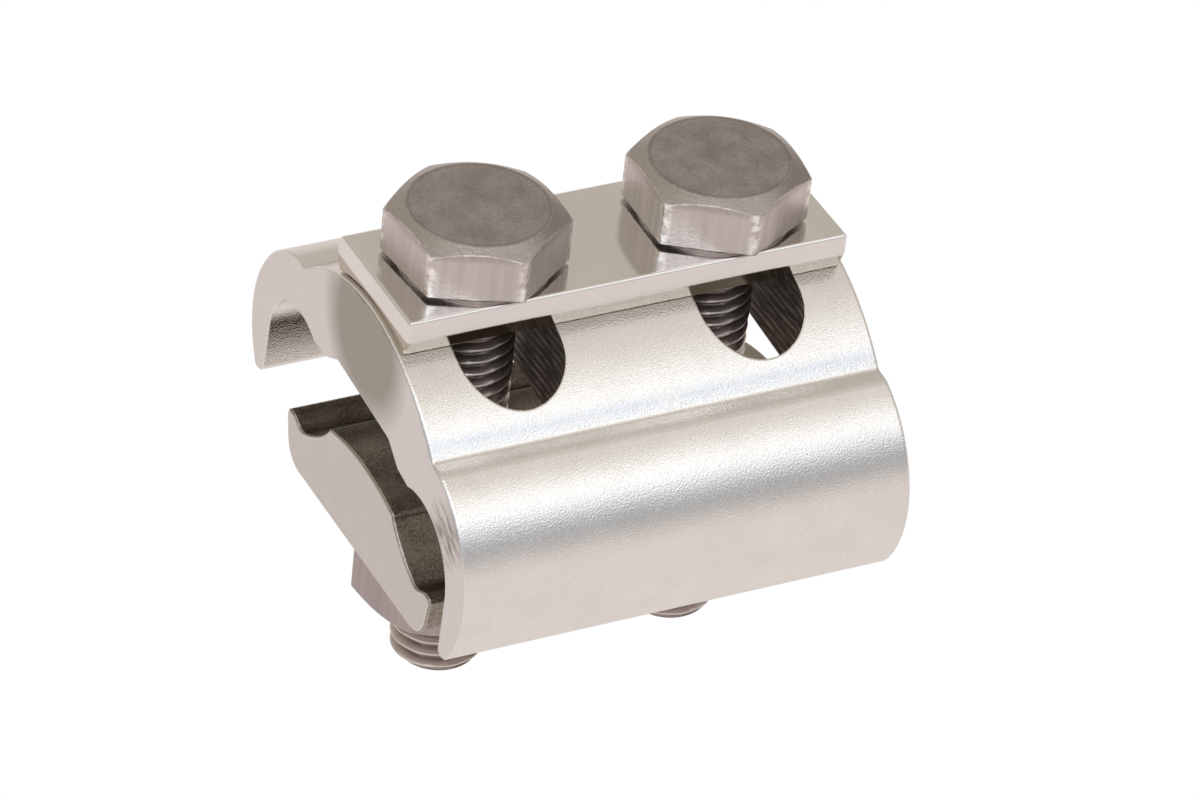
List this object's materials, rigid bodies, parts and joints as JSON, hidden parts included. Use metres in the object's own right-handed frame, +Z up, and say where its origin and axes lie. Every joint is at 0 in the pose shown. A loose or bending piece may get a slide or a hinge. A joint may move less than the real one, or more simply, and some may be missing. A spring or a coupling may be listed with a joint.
{
  "type": "parallel groove clamp",
  "caption": "Bolted metal clamp that joins two stranded conductors side by side: grooved upper body, saddle plate, lower jaw, hexagon bolts and nuts.",
  "frame": {"origin": "middle of the rear groove's axis, where the conductor that holds the clamp runs", "axes": "+X along the grooves, +Y towards the rear and away from the front groove, +Z up along the bolts towards their heads"},
  "size_m": [0.0508, 0.0525, 0.0564],
  "materials": {
    "tinned_copper": "bright tin plate on extruded copper, fine grain, bright cut edges",
    "polished_plate": "bright smooth tin plate",
    "stainless_fastener": "cold formed stainless steel, satin with darker faces"
  },
  "bodies": {
    "hood": {"upper_clamp_body": "tinned_copper"},
    "saddle": {"saddle_plate": "polished_plate"},
    "bolt_left": {"hex_bolt_left": "stainless_fastener"},
    "bolt_right": {"hex_bolt_right": "stainless_fastener"},
    "jaw": {"lower_jaw": "tinned_copper", "hex_nut_left": "stainless_fastener", "hex_nut_right": "stainless_fastener"}
  },
  "joints": [
    {"name": "saddle_lean", "type": "hinge", "parent": "hood", "child": "saddle", "pos_m": [0, -0.01479, -0.00411], "axis": [1, 0, 0], "range_deg": [-6.75, 17.25]},
    {"name": "jaw_travel", "type": "slide", "parent": "saddle", "child": "jaw", "axis": [0, 0, 1], "range_m": [-0.0076, 0.007]},
    {"name": "bolt_left_turn", "type": "hinge", "parent": "saddle", "child": "bolt_left", "pos_m": [-0.0136, -0.01479, 0], "axis": [0, 0, 1], "range_deg": [-1681, 1825]},
    {"name": "bolt_right_turn", "type": "hinge", "parent": "saddle", "child": "bolt_right", "pos_m": [0.0136, -0.01479, 0], "axis": [0, 0, 1], "range_deg": [-1681, 1825]}
  ],
  "couplings": [
    {"joint": "bolt_left_turn", "follows": "jaw_travel", "rad_per_m": -4188.8},
    {"joint": "bolt_right_turn", "follows": "jaw_travel", "rad_per_m": -4188.8}
  ]
}
